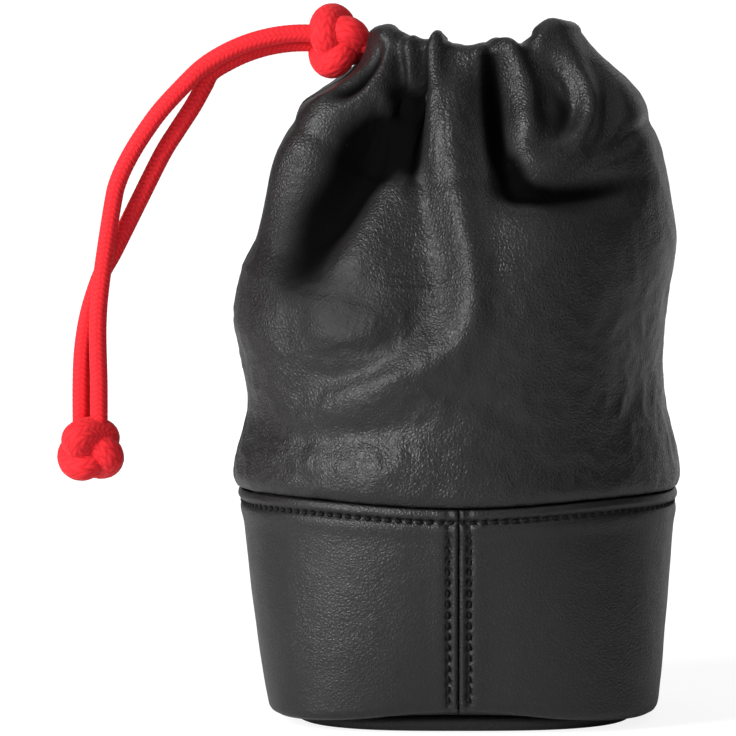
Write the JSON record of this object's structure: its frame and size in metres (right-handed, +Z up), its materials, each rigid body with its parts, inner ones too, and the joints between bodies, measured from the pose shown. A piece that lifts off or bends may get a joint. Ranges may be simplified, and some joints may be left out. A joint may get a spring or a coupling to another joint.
{
  "type": "drawstring lens pouch",
  "caption": "Soft black leather drawstring pouch with a padded band and sole, a gathered upper, and a red braided cord with a sliding knot and an end knot.",
  "frame": {"origin": "on the table, under the middle of the sole", "axes": "+Z up, -Y towards the front with the double-stitched seam, +X to the viewer's right; the cord hangs at -X"},
  "size_m": [0.1404, 0.096, 0.1585],
  "materials": {
    "leather": "soft grained, low sheen",
    "lining": "brushed cloth",
    "foam": "soft foam",
    "board": "plain fibreboard",
    "thread": "twisted thread",
    "cord": "woven sheath"
  },
  "bodies": {
    "base": {"base_sole": "leather", "base_stiffener": "board", "base_foam": "foam", "base_lining": "lining", "band_left_panel": "leather", "band_right_panel": "leather", "band_left_foam": "foam", "band_right_foam": "foam", "band_lining": "lining", "band_edge_stitching": "thread", "front_seam_stitching_left": "thread", "front_seam_stitching_right": "thread", "back_seam_stitching_left": "thread", "back_seam_stitching_right": "thread"},
    "front_lip": {"upper_front_panel": "leather", "upper_front_lining": "lining", "casing_stitching_front": "thread", "side_seam_stitching_front_left": "thread", "side_seam_stitching_front_right": "thread", "drawstring_front_run": "cord"},
    "back_lip": {"upper_back_panel": "leather", "upper_back_lining": "lining", "casing_stitching_back": "thread", "side_seam_stitching_back_left": "thread", "side_seam_stitching_back_right": "thread", "drawstring_back_run": "cord"},
    "tail": {"tail_strand_outer": "cord", "tail_strand_inner": "cord", "end_knot": "cord"},
    "slide_knot": {"slide_knot": "cord"}
  },
  "joints": [
    {"name": "front_lip_open", "type": "hinge", "parent": "base", "child": "front_lip", "pos_m": [0, -0.0467, 0.0513], "axis": [1, 0, 0], "range_deg": [0, 18]},
    {"name": "back_lip_open", "type": "hinge", "parent": "base", "child": "back_lip", "pos_m": [0, 0.0467, 0.0513], "axis": [-1, 0, 0], "range_deg": [0, 18]},
    {"name": "tail_swing", "type": "hinge", "parent": "base", "child": "tail", "pos_m": [-0.02725, 0, 0.1512], "axis": [0, 0, 1], "range_deg": [-40, 40]},
    {"name": "slide_knot_travel", "type": "hinge", "parent": "tail", "child": "slide_knot", "pos_m": [-0.03447, 0, 0.11542], "axis": [0, -1, 0], "range_deg": [0, 33]}
  ],
  "couplings": [
    {"joint": "back_lip_open", "follows": "front_lip_open", "ratio": 1}
  ]
}
